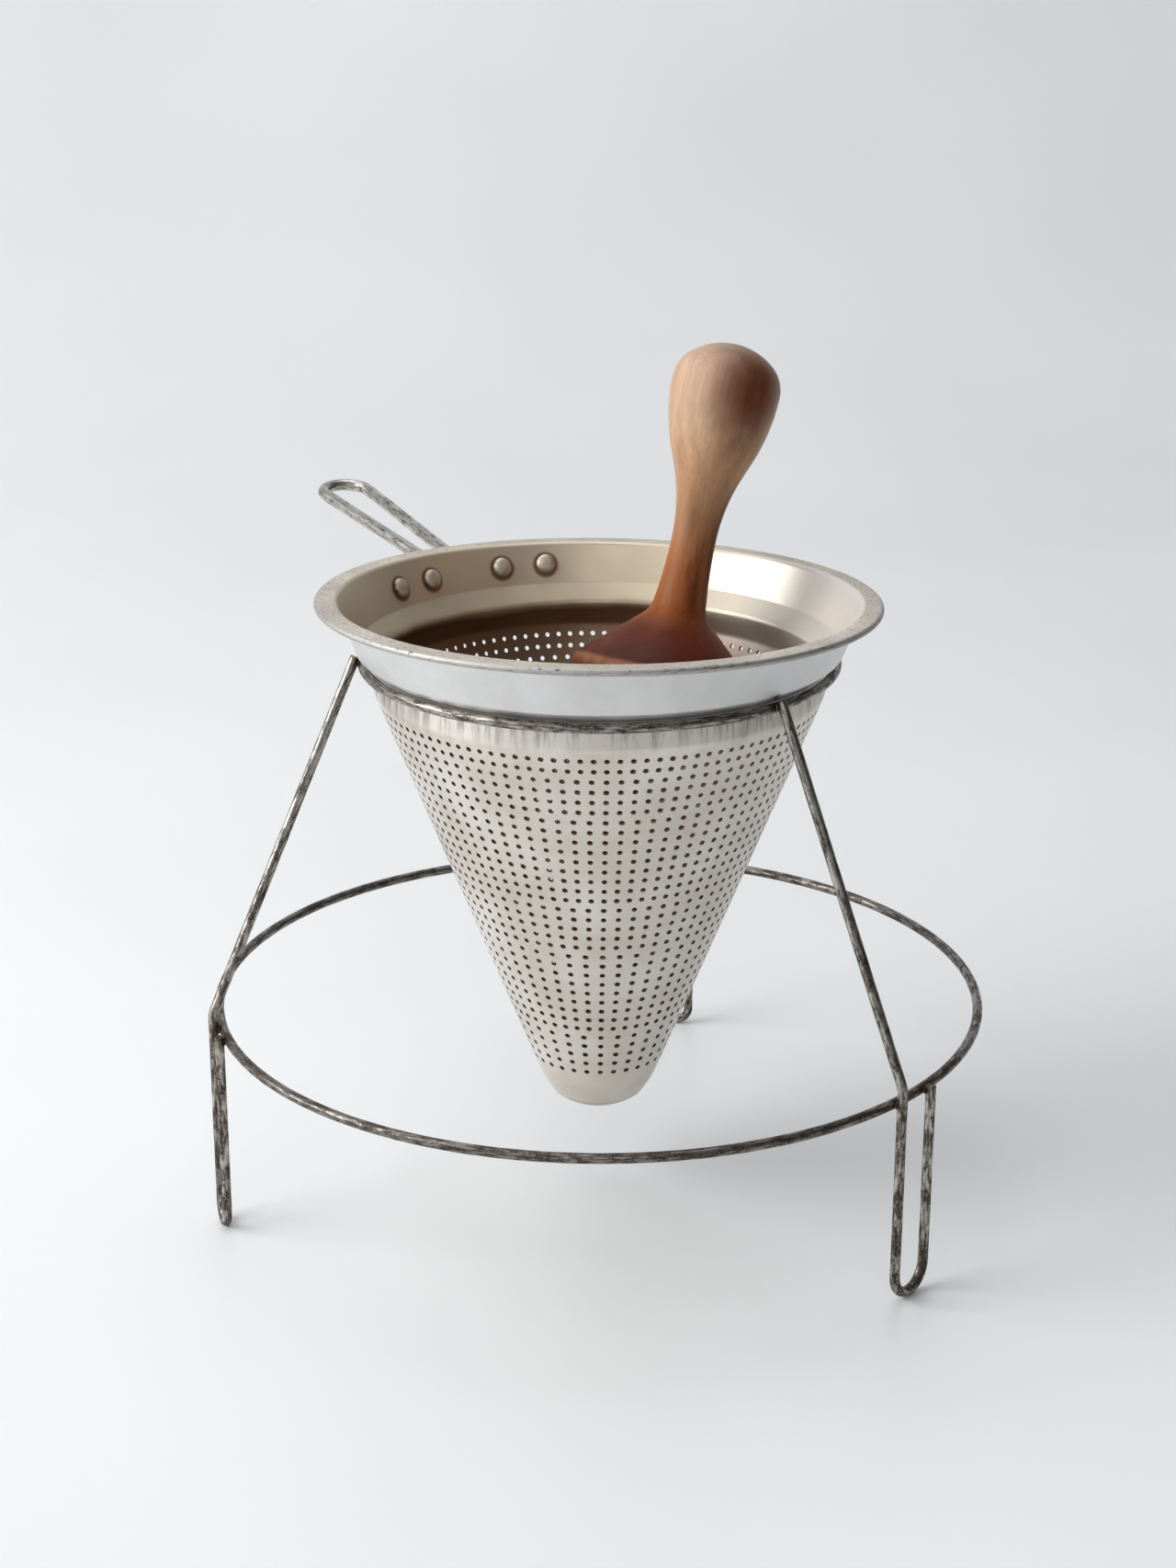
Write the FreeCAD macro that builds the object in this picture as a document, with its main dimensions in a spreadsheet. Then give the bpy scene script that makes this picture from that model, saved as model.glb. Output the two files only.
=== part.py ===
# Potato ricer: a perforated aluminium cone with a rolled rim, a riveted wire handle, a welded wire stand
# and a turned wooden pestle. Millimetres, +Z up, origin on the cone's axis at the table.
import FreeCAD, Part
import Sketcher
import math
import os

V = FreeCAD.Vector
Rotation = FreeCAD.Rotation
Placement = FreeCAD.Placement

os.makedirs("parts", exist_ok=True)
doc = FreeCAD.newDocument("potato_ricer")
sheet = doc.addObject("Spreadsheet::Sheet", "sheet")
usedRows = [0]


def cell(alias, value):
    """Keeps one driving dimension in the sheet and gives its expression."""
    usedRows[0] += 1
    place = "A%d" % usedRows[0]
    sheet.set(place, str(value))
    sheet.setAlias(place, alias)
    return "sheet." + alias


# ---- driving dimensions ----
sizes = {
    # sieve wall, where the handle is riveted to it
    "collarSlope": 22.0,  # degrees from upright
    "rivetHeight": 204.0,
    "rivetReach": 84.95,  # outside of the collar at that height
    "sheetThickness": 1.0,
    # wire stand, 10 gauge
    "wireRadius": 1.7,
    "weldSink": 0.15,  # how far two welded wires melt into each other
    "topRingReach": 80.0,
    "topRingHeight": 192.5,
    "baseRingReach": 132.55,
    "baseRingHeight": 71.2,
    "legTopReach": 82.25,
    "legTopHeight": 195.3,
    "footHalfLeft": 5.3,  # half the distance between the two uprights of each foot
    "footHalfRight": 8.0,
    "footHalfBack": 5.3,
    "kneeHeight": 77.0,
    "kneeRadius": 8.0,
    "footCutHeight": 72.9,  # the square-cut end of the foot's return wire
    # handle
    "handleAzimuth": 125.35,
    "handleSwing": -3.5,  # the loop is bent a little sideways
    "handleRise": 7.9,
    "handleWireRadius": 2.25,
    "handleRootReach": 87.0,
    "handleRootHeight": 203.4,
    "handleLoopReach": 187.2,
    "handleLoopHalfWidth": 9.0,
    "handleNeckHalfWidth": 4.9,
    "handleRootBend": 6.5,
    "strapThickness": 2.2,
    "strapHeight": 7.4,
    "strapStart": 5.0,  # degrees either side of the handle's middle
    "strapEnd": 26.5,
    # rivets through the wall and the straps
    "rivetShank": 2.0,
    "rivetHeadRadius": 3.65,
    "rivetHeadHeight": 2.2,
    "rivetTailRadius": 3.1,
    "rivetTailHeight": 1.5,
    # how the pestle lies in the cone
    "pestleAzimuth": 52.0,
    "pestleLean": 19.2,
    "pestleReach": 37.75,
    "pestleHeight": 179.0,
}
for alias, value in sizes.items():
    cell(alias, value)
doc.recompute()


def originPlane(body, role):
    return next(item for item in body.Origin.OriginFeatures if item.Role == role)


def newBody(label):
    body = doc.addObject("PartDesign::Body", label)
    body.Label = label
    return body


def newSketch(body, name, role, offset=None):
    sketch = body.newObject("Sketcher::SketchObject", name)
    sketch.AttachmentSupport = [(originPlane(body, role), "")]
    sketch.MapMode = "FlatFace"
    if offset:
        sketch.AttachmentOffset = offset
    return sketch


def bind(sketch, kind, *arguments, expression):
    """Adds a constraint whose value follows an expression on the sheet."""
    index = sketch.addConstraint(Sketcher.Constraint(kind, *arguments))
    sketch.setExpression("Constraints[%d]" % index, expression)


def bindPoint(sketch, geometry, end, x, y, xExpression, yExpression):
    """Ties one end of a line or arc to its distances from the sketch's origin."""
    if abs(x) < 1e-9:
        sketch.addConstraint(Sketcher.Constraint("PointOnObject", geometry, end, -2))
    else:
        bind(sketch, "DistanceX", -1, 1, geometry, end, x, expression=xExpression)
    if abs(y) < 1e-9:
        sketch.addConstraint(Sketcher.Constraint("PointOnObject", geometry, end, -1))
    else:
        bind(sketch, "DistanceY", -1, 1, geometry, end, y, expression=yExpression)


def arcBetween(start, end, radius):
    """The short arc from start to end. A positive radius turns left, a negative one right."""
    chord = end.sub(start)
    side = V(-chord.y, chord.x, 0).normalize()
    rise = math.sqrt(radius * radius - chord.Length ** 2 / 4)
    centre = start.add(chord.multiply(0.5)).add(side.multiply(math.copysign(rise, radius)))
    first, last = (start, end) if radius > 0 else (end, start)
    angles = [math.atan2(point.y - centre.y, point.x - centre.x) for point in (first, last)]
    if angles[1] < angles[0]:
        angles[1] += 2 * math.pi
    return Part.ArcOfCircle(Part.Circle(centre, V(0, 0, 1), abs(radius)), *angles)


def outline(sketch, prefix, corners, closed=True, turned=True):
    """Draws corners (name, x, y, radius of the arc to the next corner or 0) and ties them to the sheet.

    A turned outline is later spun about its own upright axis, so an arc that meets the axis
    is centred on it.
    """
    points = [V(x, y, 0) for _, x, y, _ in corners]
    count = len(corners) if closed else len(corners) - 1
    ends = []
    for index in range(count):
        start, end = points[index], points[(index + 1) % len(points)]
        name, _, _, radius = corners[index]
        if radius and turned and start.x * end.x == 0:  # a pole: the arc's centre lies on the axis
            chord = end.sub(start)
            radius = math.copysign(chord.Length ** 2 / (2 * abs(chord.y)), radius)
            geometry = sketch.addGeometry(arcBetween(start, end, radius), False)
            sketch.addConstraint(Sketcher.Constraint("PointOnObject", geometry, 3, -2))
            ends.append((geometry, 1, 2) if radius > 0 else (geometry, 2, 1))
        elif radius:
            geometry = sketch.addGeometry(arcBetween(start, end, radius), False)
            roundCell = cell(prefix + name + "Round", abs(radius))
            bind(sketch, "Radius", geometry, abs(radius), expression=roundCell)
            ends.append((geometry, 1, 2) if radius > 0 else (geometry, 2, 1))
        else:
            geometry = sketch.addGeometry(Part.LineSegment(start, end), False)
            ends.append((geometry, 1, 2))
    for index in range(count - 1 if not closed else count):
        here, after = ends[index], ends[(index + 1) % count]
        sketch.addConstraint(Sketcher.Constraint("Coincident", here[0], here[2], after[0], after[1]))
    for index, (name, x, y, _) in enumerate(corners):
        geometry, end = (ends[index][0], ends[index][1]) if index < count else (ends[-1][0], ends[-1][2])
        xCell = cell(prefix + name + "Reach", x)
        yCell = cell(prefix + name + "Height", y)
        bindPoint(sketch, geometry, end, x, y, xCell, yCell)
    return sketch


def revolve(body, sketch, name):
    feature = body.newObject("PartDesign::Revolution", name)
    feature.Profile = sketch
    feature.ReferenceAxis = (sketch, ["V_Axis"])
    feature.Angle = 360
    sketch.Visibility = False
    return feature


def circleSketch(body, name, role, x, y, radius, offset=None):
    """A circle given by expressions for its centre and radius."""
    sketch = newSketch(body, name, role, offset)
    geometry = sketch.addGeometry(Part.Circle(V(x[0], y[0], 0), V(0, 0, 1), radius[0]), False)
    bindPoint(sketch, geometry, 3, x[0], y[0], x[1], y[1])
    bind(sketch, "Radius", geometry, radius[0], expression=radius[1])
    return sketch


def pipe(body, name, profile, path, edges):
    feature = body.newObject("PartDesign::AdditivePipe", name)
    feature.Profile = profile
    feature.Spine = (path, ["Edge%d" % (number + 1) for number in range(edges)])
    return feature


# ---- sieve: one spun sheet from the domed tip to the rolled rim ----
# Down the outside from the flange's underside to the tip, then up the inside and over the flange.
sieveCorners = [
    ("Underside", 87.84, 211.2, 0),
    ("CollarFoot", 82.55, 198.1, -3.0),
    ("ShoulderTop", 81.8, 197.0, 0),
    ("ShoulderFoot", 76.2, 191.6, 0),
    ("ConeTop", 76.2, 182.5, 0),
    ("ConeFoot", 21.6, 44.3, -40.0),
    ("Crease", 16.0, 34.0, -25.3),
    ("Tip", 0.0, 28.3, 0),
    ("InnerTip", 0.0, 29.3, 24.3),
    ("InnerCrease", 15.3, 34.75, 39.0),
    ("InnerConeFoot", 20.67, 44.67, 0),
    ("InnerConeTop", 75.2, 182.7, 0),
    ("InnerShoulderFoot", 75.2, 192.0, 0),
    ("InnerShoulderTop", 81.1, 197.7, 2.0),
    ("InnerCollarFoot", 81.62, 198.47, 0),
    ("InnerCollarTop", 86.98, 211.75, -2.2),
    ("FlangeInner", 88.9, 213.6, 0),
    ("FlangeTop", 94.0, 213.6, -1.25),
    ("FlangeWidest", 95.25, 212.4, -1.25),
    ("FlangeFoot", 94.0, 211.2, 0),
]


def rivetFrame(azimuth):
    """Origin on the collar's outside, Z square to the wall and pointing into the sieve."""
    tilt = Rotation(V(0, 1, 0), sizes["collarSlope"] - 90)
    place = V(sizes["rivetReach"], 0, sizes["rivetHeight"])
    return Placement(V(), Rotation(V(0, 0, 1), azimuth)).multiply(Placement(place, tilt))


rivetAzimuths = [103.7, 115.1, 135.7, 146.9]


def rivetHoles(body, bodyAzimuth):
    """Drills the handle's rivet holes square through the wall."""
    for number, azimuth in enumerate(rivetAzimuths, 1):
        hole = circleSketch(body, body.Name + "_hole_%d" % number, "XY_Plane", (0, ""), (0, ""),
                            (sizes["rivetShank"], "sheet.rivetShank"), rivetFrame(azimuth - bodyAzimuth))
        doc.recompute()
        before = body.Shape.Volume
        pocket = body.newObject("PartDesign::Pocket", body.Name + "_drill_%d" % number)
        pocket.Profile = hole
        pocket.SideType = "Symmetric"
        pocket.Length = 12.0
        pocket.setExpression("Length", "sheet.rivetShank * 6")
        doc.recompute()
        if body.Shape.Volume >= before:
            raise RuntimeError("%s cuts nothing" % pocket.Name)


sieve = newBody("sieve")
sieveProfile = newSketch(sieve, "sieve_profile", "XZ_Plane")
revolve(sieve, outline(sieveProfile, "sieve", sieveCorners), "sieve_spun")
rivetHoles(sieve, 0)


# ---- handle: one wire bent to a loop, its ends flattened to straps that follow the collar ----
handle = newBody("wire_handle")
handle.Placement = Placement(V(), Rotation(V(0, 0, 1), sizes["handleAzimuth"]))
rootReach = sizes["handleRootReach"]
loopLength = sizes["handleLoopReach"] - rootReach
bend = sizes["handleRootBend"]
neck = sizes["handleNeckHalfWidth"]
half = sizes["handleLoopHalfWidth"]
rise = Rotation(V(0, 1, 0), -sizes["handleRise"])
swing = Rotation(V(0, 0, 1), sizes["handleSwing"])
loopPlace = Placement(V(rootReach, 0, sizes["handleRootHeight"]), swing.multiply(rise))
turnX = loopLength - half
reachAcross = math.hypot(turnX - bend, neck + bend)
spread = math.asin((half + bend) / reachAcross) - math.atan2(neck + bend, turnX - bend)
rootInX = bend + bend * math.sin(spread)
rootInY = neck + bend - bend * math.cos(spread)
turnEndX = turnX - half * math.sin(spread)
turnEndY = half * math.cos(spread)
loopPath = newSketch(handle, "handle_loop_path", "XY_Plane", loopPlace)
outline(loopPath, "loop", [
    ("RootOut", 0.0, -(neck + bend), -bend),
    ("RootIn", rootInX, -rootInY, 0),
    ("TurnStart", turnEndX, -turnEndY, half),
    ("TurnMiddle", loopLength, 0.0, half),
    ("TurnEnd", turnEndX, turnEndY, 0),
    ("FarRootIn", rootInX, rootInY, -bend),
    ("FarRootOut", 0.0, neck + bend, 0),
], closed=False, turned=False)
wireStart = Placement(V(0, -(neck + bend), 0), Rotation(V(1, 0, 0), -90))
loopWire = circleSketch(handle, "handle_wire_profile", "XY_Plane", (0, ""), (0, ""),
                        (sizes["handleWireRadius"], "sheet.handleWireRadius"), loopPlace.multiply(wireStart))
pipe(handle, "handle_loop", loopWire, loopPath, 6)

# The straps' section is a slanted bar whose inner face lies on the collar.
slope = math.radians(sizes["collarSlope"])
along = V(math.sin(slope), math.cos(slope), 0).multiply(sizes["strapHeight"] / 2)
across = V(math.cos(slope), -math.sin(slope), 0).multiply(sizes["strapThickness"])
strapFoot = V(sizes["rivetReach"], sizes["rivetHeight"], 0)
strapLow, strapHigh = strapFoot.sub(along), strapFoot.add(along)
strapPoints = [strapLow, strapLow.add(across), strapHigh.add(across), strapHigh]
strapNames = ["FootIn", "FootOut", "TopOut", "TopIn"]
for side, label in ((1, "Left"), (-1, "Right")):
    middle = side * (sizes["strapStart"] + sizes["strapEnd"]) / 2
    turned = Placement(V(), Rotation(V(0, 1, 0), middle))
    strapSketch = newSketch(handle, "handle_strap_section_" + label.lower(), "XZ_Plane", turned)
    corners = [(name, point.x, point.y, 0) for name, point in zip(strapNames, strapPoints)]
    outline(strapSketch, "strap" + label, corners)
    strap = revolve(handle, strapSketch, "handle_strap_" + label.lower())
    strap.Midplane = True
    strap.setExpression("Angle", "sheet.strapEnd - sheet.strapStart")
rivetHoles(handle, sizes["handleAzimuth"])


# ---- rivets: a domed head inside the sieve and a flatter tail over the strap ----
headRadius = sizes["rivetHeadRadius"]
headHeight = sizes["rivetHeadHeight"]
wall = sizes["sheetThickness"]
strapFace = -sizes["strapThickness"]
domeRadius = (headRadius ** 2 + headHeight ** 2) / (2 * headHeight)
tailRadius = sizes["rivetTailRadius"]
tailHeight = sizes["rivetTailHeight"]
tailDome = (tailRadius ** 2 + tailHeight ** 2) / (2 * tailHeight)
for number, azimuth in enumerate(rivetAzimuths, 1):
    rivet = newBody("handle_rivet_%d" % number)
    rivetProfile = newSketch(rivet, "rivet_profile_%d" % number, "XZ_Plane")
    outline(rivetProfile, "rivet%dx" % number, [
        ("HeadEdge", headRadius, wall, domeRadius),
        ("HeadTop", 0.0, wall + headHeight, 0),
        ("TailTop", 0.0, strapFace - tailHeight, tailDome),
        ("TailEdge", tailRadius, strapFace, 0),
        ("TailNeck", sizes["rivetShank"], strapFace, 0),
        ("HeadNeck", sizes["rivetShank"], wall, 0),
    ])
    revolve(rivet, rivetProfile, "rivet_turned_%d" % number)
    rivet.Placement = rivetFrame(azimuth)


# ---- stand rings ----
for label, prefix in (("top_ring", "topRing"), ("base_ring", "baseRing")):
    ring = newBody(label)
    section = circleSketch(ring, label + "_section", "XZ_Plane",
                           (sizes[prefix + "Reach"], "sheet.%sReach" % prefix),
                           (sizes[prefix + "Height"], "sheet.%sHeight" % prefix),
                           (sizes["wireRadius"], "sheet.wireRadius"))
    revolve(ring, section, label + "_wire")


# ---- legs: a slanted wire outside both rings, a knee, and a U-shaped foot back up to the base ring ----
legs = [  # label, azimuth of the foot, azimuth of the top end seen from the foot, half width of the foot
    ("leg_left", 198.0, -11.0, sizes["footHalfLeft"]),
    ("leg_right", 319.1, -4.6, sizes["footHalfRight"]),
    ("leg_back", 76.6, -2.6, sizes["footHalfBack"]),
]
wireGap = 2 * sizes["wireRadius"] - sizes["weldSink"]
joinHeight = sizes["kneeHeight"] - sizes["kneeRadius"]
for label, footAzimuth, topTurn, footHalf in legs:
    footReach = math.sqrt((sizes["baseRingReach"] + wireGap) ** 2 - footHalf ** 2)
    leg = newBody(label)
    leg.Placement = Placement(V(), Rotation(V(0, 0, 1), footAzimuth))
    prefix = label.replace("_", "")
    topX = sizes["legTopReach"] * math.cos(math.radians(topTurn))
    topY = sizes["legTopReach"] * math.sin(math.radians(topTurn))
    inward = V(topX - footReach, topY + footHalf, 0)
    planeTurn = math.degrees(math.atan2(inward.y, inward.x))

    # the slanted run, in the upright plane through the foot's first upright and the top end
    drop = sizes["legTopHeight"] - sizes["kneeHeight"]
    lean = math.atan2(inward.Length, drop)
    cut = sizes["kneeRadius"] * math.tan(lean / 2)
    kneeX = cut * math.sin(lean)
    kneeY = sizes["kneeHeight"] + cut * math.cos(lean)
    slantPlace = Placement(V(footReach, 0, footHalf), Rotation(V(0, 1, 0), planeTurn))
    slant = newSketch(leg, label + "_slant_path", "XZ_Plane", slantPlace)
    outline(slant, prefix + "Slant", [
        ("Join", 0.0, joinHeight, 0),
        ("KneeFoot", 0.0, sizes["kneeHeight"] - cut, -sizes["kneeRadius"]),
        ("KneeTop", kneeX, kneeY, 0),
        ("Top", inward.Length, sizes["legTopHeight"], 0),
    ], closed=False, turned=False)
    joinPlace = Placement(V(footReach, -footHalf, joinHeight), Rotation())
    section = circleSketch(leg, label + "_wire_section", "XY_Plane", (0, ""), (0, ""),
                           (sizes["wireRadius"], "sheet.wireRadius"), joinPlace)
    pipe(leg, label + "_slant", section, slant, 3)

    # the foot, in the upright plane square to the radius
    lowest = sizes["wireRadius"]
    foot = newSketch(leg, label + "_foot_path", "YZ_Plane", Placement(V(0, 0, footReach), Rotation()))
    outline(foot, prefix + "Foot", [
        ("Start", -footHalf, joinHeight, 0),
        ("BendStart", -footHalf, lowest + footHalf, footHalf),
        ("Lowest", 0.0, lowest, footHalf),
        ("BendEnd", footHalf, lowest + footHalf, 0),
        ("Cut", footHalf, sizes["footCutHeight"], 0),
    ], closed=False, turned=False)
    footSection = circleSketch(leg, label + "_foot_section", "XY_Plane", (0, ""), (0, ""),
                               (sizes["wireRadius"], "sheet.wireRadius"), joinPlace)
    pipe(leg, label + "_foot", footSection, foot, 4)


# ---- pestle: turned from one piece, knob, neck, flare, shoulder and a tapered head with a round tip ----
pestleCorners = [  # radius and height above the shoulder
    ("KnobTop", 0.0, 116.0, -22.5),
    ("KnobBrow", 14.5, 110.7, -13.0),
    ("KnobWidest", 19.13, 100.8, -64.0),
    ("KnobFoot", 14.54, 77.0, 0),
    ("NeckTop", 12.34, 71.5, 64.2),
    ("NeckNarrowest", 7.75, 47.7, 181.0),
    ("NeckFoot", 9.3, 24.0, 9.0),
    ("FlareTop", 12.17, 18.5, 0),
    ("FlareFoot", 32.2, 0.3, -2.4),
    ("ShoulderEdge", 32.95, -1.9, 0),
    ("HeadFoot", 10.3, -143.0, -10.43),
    ("HeadTip", 0.0, -151.8, 0),
]
pestle = newBody("pestle")
pestleProfile = newSketch(pestle, "pestle_profile", "XZ_Plane")
revolve(pestle, outline(pestleProfile, "pestle", pestleCorners), "pestle_turned")
leaning = Rotation(V(0, 1, 0), sizes["pestleLean"])
leanPlace = Placement(V(sizes["pestleReach"], 0, sizes["pestleHeight"]), leaning)
pestle.Placement = Placement(V(), Rotation(V(0, 0, 1), sizes["pestleAzimuth"])).multiply(leanPlace)


# ---- check everything, then write one file per piece ----
doc.recompute()
for item in doc.Objects:
    if "Invalid" in item.State or "Error" in item.State:
        raise RuntimeError("%s failed: %s" % (item.Name, item.State))
for body in [item for item in doc.Objects if item.TypeId == "PartDesign::Body"]:
    shape = body.Shape
    if shape.isNull() or not shape.isValid() or len(shape.Solids) != 1:
        raise RuntimeError("%s is not one valid solid" % body.Label)
    shape.exportStep("parts/%s.step" % body.Label)
    print("%-16s volume %9.1f mm3" % (body.Label, shape.Volume))
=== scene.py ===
import math
from functools import partial

import bmesh
import bpy
from mathutils import Matrix, Vector, noise


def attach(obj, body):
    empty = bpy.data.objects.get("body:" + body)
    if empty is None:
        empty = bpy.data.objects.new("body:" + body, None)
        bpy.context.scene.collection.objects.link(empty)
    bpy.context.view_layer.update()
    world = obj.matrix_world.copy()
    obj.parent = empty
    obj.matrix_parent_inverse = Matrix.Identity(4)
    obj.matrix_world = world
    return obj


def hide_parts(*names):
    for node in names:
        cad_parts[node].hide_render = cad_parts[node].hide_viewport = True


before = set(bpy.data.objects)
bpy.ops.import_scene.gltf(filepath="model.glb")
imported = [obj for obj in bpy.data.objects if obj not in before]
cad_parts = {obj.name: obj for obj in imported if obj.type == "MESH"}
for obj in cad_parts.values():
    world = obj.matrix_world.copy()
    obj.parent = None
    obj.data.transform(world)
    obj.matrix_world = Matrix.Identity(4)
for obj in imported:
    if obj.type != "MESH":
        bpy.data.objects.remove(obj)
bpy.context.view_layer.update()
up = Vector((0, 0, 1))


def mm(value):
    return value / 1000


def linear(code):  # sRGB hex to the linear colour that shaders take
    parts = [int(code[i:i + 2], 16) / 255 for i in (1, 3, 5)]
    return tuple(p / 12.92 if p <= 0.04045 else ((p + 0.055) / 1.055) ** 2.4 for p in parts) + (1.0,)


# Colours are given as hex codes. A link starts at a socket, or at the first output of a node.
def addNode(tree, kind, settings=None, links=None):
    node = tree.nodes.new("ShaderNode" + kind)
    for name, value in (settings or {}).items():
        if name == "stops":
            while len(node.color_ramp.elements) < len(value):
                node.color_ramp.elements.new(0.5)
            for element, (position, code) in zip(node.color_ramp.elements, value):
                element.position, element.color = position, linear(code)
        elif name == "range":  # from low, from high, then to low and to high where they aren't 0 and 1
            for socket, number in zip(("From Min", "From Max", "To Min", "To Max"), value):
                node.inputs[socket].default_value = number
        elif isinstance(name, str) and hasattr(node, name):
            setattr(node, name, value)
        else:
            node.inputs[name].default_value = linear(value) if isinstance(value, str) else value
    for name, source in (links or {}).items():
        socket = source.outputs[0] if isinstance(source, bpy.types.Node) else source
        tree.links.new(socket, node.inputs[name])
    return node


# A material, the function that adds nodes to it, and the object's own coordinates.
def newMaterial(name):
    material = bpy.data.materials.new(name)
    material.use_nodes = True
    material.node_tree.nodes.clear()
    add = partial(addNode, material.node_tree)
    return material, add, add("TexCoord").outputs["Object"]


def grain(size):  # texture scale for a pattern of that size in millimetres
    return 1000 / size


def turnAbout(axis, degrees):
    return Matrix.Rotation(math.radians(degrees), 4, axis)


def outwardFrom(place):  # level, straight away from the axis
    return Vector((place.x, place.y, 0)).normalized()


def vertsIn(geometry):
    return [item for item in geometry if isinstance(item, bmesh.types.BMVert)]


def smoothstep(low, high, value):
    t = min(max((value - low) / (high - low), 0), 1)
    return t * t * (3 - 2 * t)


# Arc from start to end in a flat profile. A positive radius bends left, a negative one right.
def arcRun(start, end, radius, count):
    start, end = Vector(start), Vector(end)
    chord = end - start
    side = Vector((-chord.y, chord.x)).normalized()
    rise = math.sqrt(radius * radius - chord.length_squared / 4)
    centre = start + chord / 2 + side * math.copysign(rise, radius)
    spread = 2 * math.asin(chord.length / 2 / abs(radius)) * (1 if radius > 0 else -1)
    out = []
    for i in range(1, count + 1):
        turned = Matrix.Rotation(spread * i / count, 2) @ (start - centre)
        out.append(centre + turned)
    return out


# A line through corners, each given with its bend radius, with a point every few degrees in the bends.
def bentLine(corners, stepDegrees):
    points = [Vector(corners[0][0])]
    for (before, _), (corner, radius), (after, _) in zip(corners, corners[1:], corners[2:]):
        corner = Vector(corner)
        toBefore, toAfter = (Vector(before) - corner).normalized(), (Vector(after) - corner).normalized()
        turn = math.pi - toBefore.angle(toAfter)
        if radius <= 0 or turn < 1e-4:
            points.append(corner)
            continue
        cut = radius * math.tan(turn / 2)
        middle = (toBefore + toAfter).normalized()
        centre = corner + middle * (radius / math.cos(turn / 2))
        first, last = corner + toBefore * cut - centre, corner + toAfter * cut - centre
        count = max(2, math.ceil(math.degrees(turn) / stepDegrees))
        for i in range(count + 1):
            t = i / count
            weightA, weightB = math.sin((1 - t) * turn) / math.sin(turn), math.sin(t * turn) / math.sin(turn)
            points.append(centre + first * weightA + last * weightB)
    points.append(Vector(corners[-1][0]))
    return points


def finishPiece(bm, name, materials, body, nodes, sharpAngle=38.0):
    bm.normal_update()
    for face in bm.faces:
        face.smooth = True
    for edge in bm.edges:
        if len(edge.link_faces) == 2 and edge.calc_face_angle() > math.radians(sharpAngle):
            edge.smooth = False
    mesh = bpy.data.meshes.new(name)
    bm.to_mesh(mesh)
    bm.free()
    for material in materials:
        mesh.materials.append(material)
    piece = bpy.data.objects.new(name, mesh)
    bpy.context.scene.collection.objects.link(piece)
    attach(piece, body)
    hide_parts(*nodes)
    triangles = sum(len(polygon.vertices) - 2 for polygon in mesh.polygons)
    print("%-20s %7d triangles" % (name, triangles))


def closeShape(bm):  # weld doubles and turn every face outwards
    bmesh.ops.remove_doubles(bm, verts=bm.verts[:], dist=1e-6)
    bmesh.ops.recalc_face_normals(bm, faces=bm.faces[:])


# Draws the profile as edges in the XZ plane, then spins it about Z.
def spinProfile(bm, points, steps, startDegrees=0.0):
    made = [bm.verts.new((point[0], 0, point[1])) for point in points]
    edges = [bm.edges.new(pair) for pair in zip(made, made[1:])]
    turn = Matrix.Rotation(math.radians(startDegrees), 3, "Z")
    bmesh.ops.rotate(bm, verts=made, cent=(0, 0, 0), matrix=turn)
    bmesh.ops.spin(bm, geom=made + edges, cent=(0, 0, 0), axis=(0, 0, 1), angle=math.tau,
                   steps=steps, use_merge=True)


cameraPlace = {
    "location": (0, -0.87308, 0.44372),
    "right": (0.99998424, 0.00512143, 0.00230222),
    "up": (-0.00382688, 0.32156963, 0.9468782),
    "back": (0.00410905, -0.94687208, 0.32158416),
    "lens": 61.61,
}
cameraData = bpy.data.cameras.new("camera")
cameraData.lens = cameraPlace["lens"]
cameraData.sensor_width = 36
cameraData.clip_start, cameraData.clip_end = 0.02, 30
camera = bpy.data.objects.new("camera", cameraData)
turned = Matrix((cameraPlace["right"], cameraPlace["up"], cameraPlace["back"])).transposed()
camera.matrix_world = Matrix.Translation(cameraPlace["location"]) @ turned.to_4x4()
bpy.context.scene.collection.objects.link(camera)
bpy.context.scene.camera = camera
bpy.context.scene.view_settings.view_transform = "Standard"

lamps = [  # name, place, aim, width, height, power, colour
    ("window", (-1.7, -0.35, 1.05), (0.0, 0.0, 0.15), 1.5, 1.3, 33.0, "#FFFFFF"),
    ("ceiling", (-0.3, 0.5, 2.1), (0.0, 0.0, 0.0), 1.8, 1.6, 14.5, "#FBFCFF"),
    ("frontFill", (-0.15, -1.9, 1.35), (0.0, 0.0, 0.1), 1.1, 0.9, 4.4, "#FFFDF9"),
]
for name, place, aim, width, height, power, color in lamps:
    lampData = bpy.data.lights.new(name, "AREA")
    lampData.shape = "RECTANGLE"
    lampData.size, lampData.size_y = width, height
    lampData.energy = power
    lampData.color = linear(color)[:3]
    lamp = bpy.data.objects.new(name, lampData)
    facing = (Vector(place) - Vector(aim)).to_track_quat("Z", "Y").to_matrix().to_4x4()
    lamp.matrix_world = Matrix.Translation(place) @ facing
    bpy.context.scene.collection.objects.link(lamp)

world = bpy.data.worlds.new("softRoom")  # a pale room, brighter on the window's side
bpy.context.scene.world = world
world.use_nodes = True
roomSplit = addNode(world.node_tree, "SeparateXYZ", {},
                    {"Vector": addNode(world.node_tree, "TexCoord").outputs["Generated"]})
roomLight = addNode(world.node_tree, "MapRange", {"range": (-0.9, 0.8, 0.67, 0.10)},
                    {"Value": roomSplit.outputs["X"]})
world.node_tree.nodes["Background"].inputs["Color"].default_value = linear("#F0F2F5")
world.node_tree.links.new(roomLight.outputs[0], world.node_tree.nodes["Background"].inputs["Strength"])


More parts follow.
